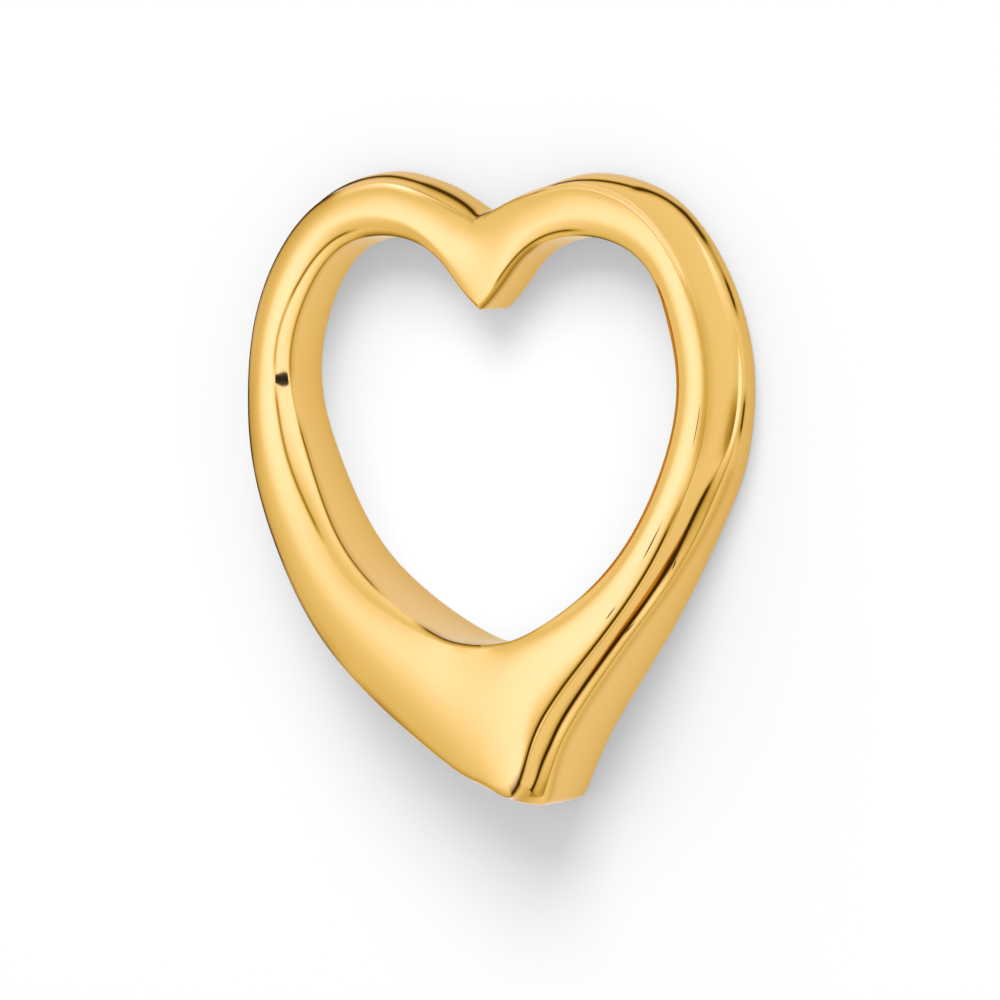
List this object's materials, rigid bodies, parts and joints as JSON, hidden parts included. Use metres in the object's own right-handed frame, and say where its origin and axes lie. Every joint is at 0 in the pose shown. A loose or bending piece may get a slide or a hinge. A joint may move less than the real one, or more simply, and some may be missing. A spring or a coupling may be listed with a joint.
{
  "type": "open heart chain slide pendant",
  "caption": "Polished open heart slide, one cast ring with a domed face, a bevelled opening and a folded flank that deepens towards the tip, worn on a chain passed through the opening.",
  "frame": {"origin": "middle of the footprint, on the flat back", "axes": "+Y from the tip to the lobes, +Z out of the domed face, +X to the flank with the fold"},
  "size_m": [0.0136, 0.016, 0.0035],
  "materials": {
    "gold": "mirror-polished yellow gold"
  },
  "bodies": {
    "root": {"open_heart": "gold"}
  },
  "joints": []
}
